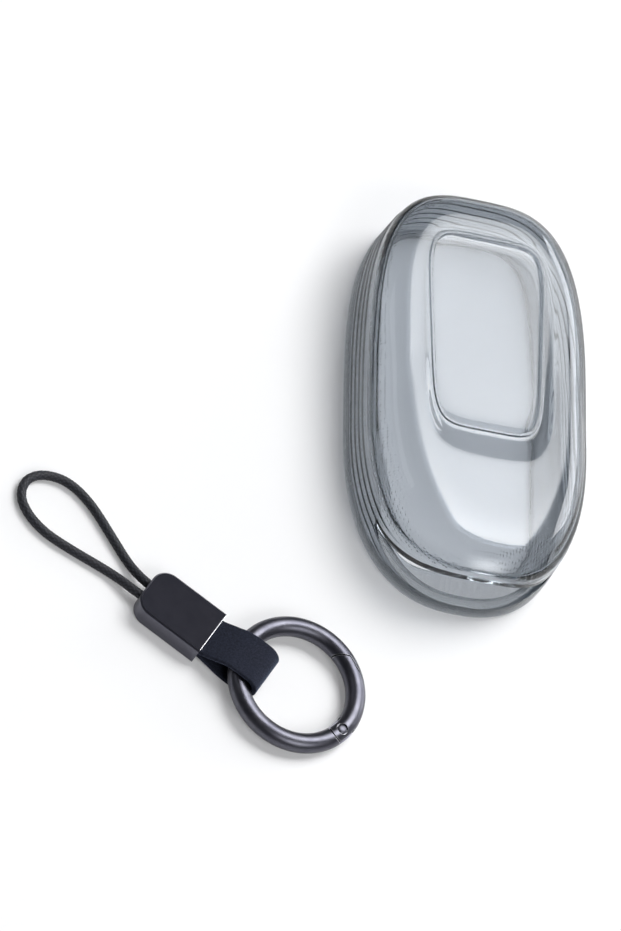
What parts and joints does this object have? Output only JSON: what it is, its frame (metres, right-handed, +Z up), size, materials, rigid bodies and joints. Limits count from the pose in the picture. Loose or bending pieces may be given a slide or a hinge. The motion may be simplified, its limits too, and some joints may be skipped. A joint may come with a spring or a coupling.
{
  "type": "key fob cover",
  "caption": "See-through soft key fob cover with an open mouth and back, lying beside its lanyard: cord loop, metal clip, folded strap and sprung gate ring.",
  "frame": {"origin": "centre of the footprint of the cover and the lanyard's clip, strap and ring, on the surface that they lie on", "axes": "+Y from the cover's mouth to its closed end, +Z up, out of the cover's front face, +X to the right seen from above"},
  "size_m": [0.1146, 0.1252, 0.02],
  "materials": {
    "smoke_tpu": "gloss",
    "gunmetal": "satin",
    "black_nickel": "satin",
    "pin_steel": "satin",
    "spring_steel": "satin",
    "crimp_metal": "satin",
    "suede": "matte",
    "cord": "matte"
  },
  "bodies": {
    "cover": {"cover_shell": "smoke_tpu"},
    "lanyard": {"clip_body": "black_nickel", "strap_pin": "pin_steel", "cord_crimp": "crimp_metal", "cord_loop": "cord"},
    "strap": {"strap": "suede"},
    "ring": {"ring_body": "gunmetal"},
    "gate": {"gate": "gunmetal", "gate_pin": "pin_steel", "gate_spring": "spring_steel"}
  },
  "joints": [
    {"name": "lanyard_lift", "type": "slide", "parent": "cover", "child": "lanyard", "axis": [0, 0, 1], "range_m": [0, 0.05]},
    {"name": "strap_flex", "type": "hinge", "parent": "lanyard", "child": "strap", "pos_m": [-0.02911, -0.04247, 0.00235], "axis": [-0.515, -0.8572, 0], "range_deg": [0, 75], "deforming": ["strap"]},
    {"name": "ring_turn", "type": "hinge", "parent": "strap", "child": "ring", "pos_m": [-0.01259, -0.04843, 0.00252], "axis": [0.04, -0.024, 0.9989], "continuous": true},
    {"name": "gate_open", "type": "hinge", "parent": "ring", "child": "gate", "pos_m": [-0.00364, -0.05678, 0.00196], "axis": [0.04, -0.024, 0.9989], "range_deg": [0, 38], "stiffness_Nm_per_rad": 0.01, "springref_deg": -34.38, "deforming": ["gate_spring"]}
  ]
}
